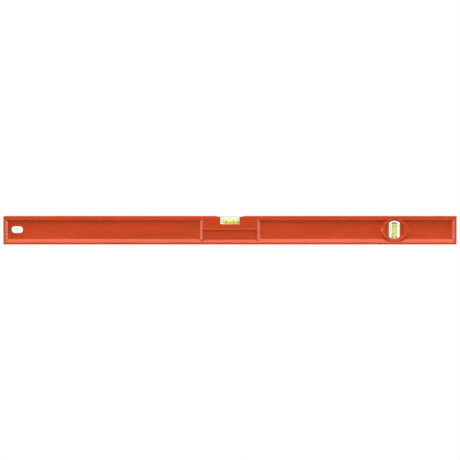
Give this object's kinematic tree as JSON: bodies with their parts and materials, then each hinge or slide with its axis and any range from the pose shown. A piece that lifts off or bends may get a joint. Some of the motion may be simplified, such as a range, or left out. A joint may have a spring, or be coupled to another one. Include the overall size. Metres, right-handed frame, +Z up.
{
  "type": "spirit level",
  "caption": "Moulded plastic I-beam spirit level with a level vial at the middle, a plumb vial near one end and a slot to hang it by.",
  "frame": {"origin": "middle of the measuring base, the face that is laid on the work", "axes": "+X along the level towards its plumb vial, +Y through its width to the back, +Z up from the measuring base"},
  "size_m": [0.8, 0.02, 0.05],
  "materials": {
    "body_plastic": "satin moulded orange-red ABS",
    "holder_plastic": "satin moulded orange-red ABS",
    "vial_acrylic": "polished clear acrylic",
    "plug_acrylic": "moulded clear acrylic",
    "vial_liquid": "clear yellow-green liquid",
    "vial_bubble": "air",
    "gauge_ring": "matt black",
    "vial_cement": "cured white cement"
  },
  "bodies": {
    "frame": {"level_body": "body_plastic", "level_vial_block": "vial_acrylic", "level_vial_cement": "vial_cement", "level_vial_plug": "plug_acrylic", "level_vial_liquid": "vial_liquid", "level_gauge_ring_left": "gauge_ring", "level_gauge_ring_right": "gauge_ring", "plumb_vial_block": "vial_acrylic", "plumb_vial_plug": "plug_acrylic", "plumb_vial_liquid": "vial_liquid", "plumb_gauge_ring_upper": "gauge_ring", "plumb_gauge_ring_lower": "gauge_ring", "plumb_holder_front": "holder_plastic", "plumb_holder_rear": "holder_plastic"},
    "level_bubble": {"level_vial_bubble": "vial_bubble"},
    "plumb_bubble": {"plumb_vial_bubble": "vial_bubble"}
  },
  "joints": [
    {"name": "level_bubble_slide", "type": "slide", "parent": "frame", "child": "level_bubble", "axis": [1, 0, 0], "range_m": [-0.0054, 0.0054], "stiffness_N_per_m": 0.5},
    {"name": "plumb_bubble_slide", "type": "slide", "parent": "frame", "child": "plumb_bubble", "axis": [0, 0, 1], "range_m": [-0.0208, 0], "stiffness_N_per_m": 0.5, "springref_m": 0.02}
  ]
}
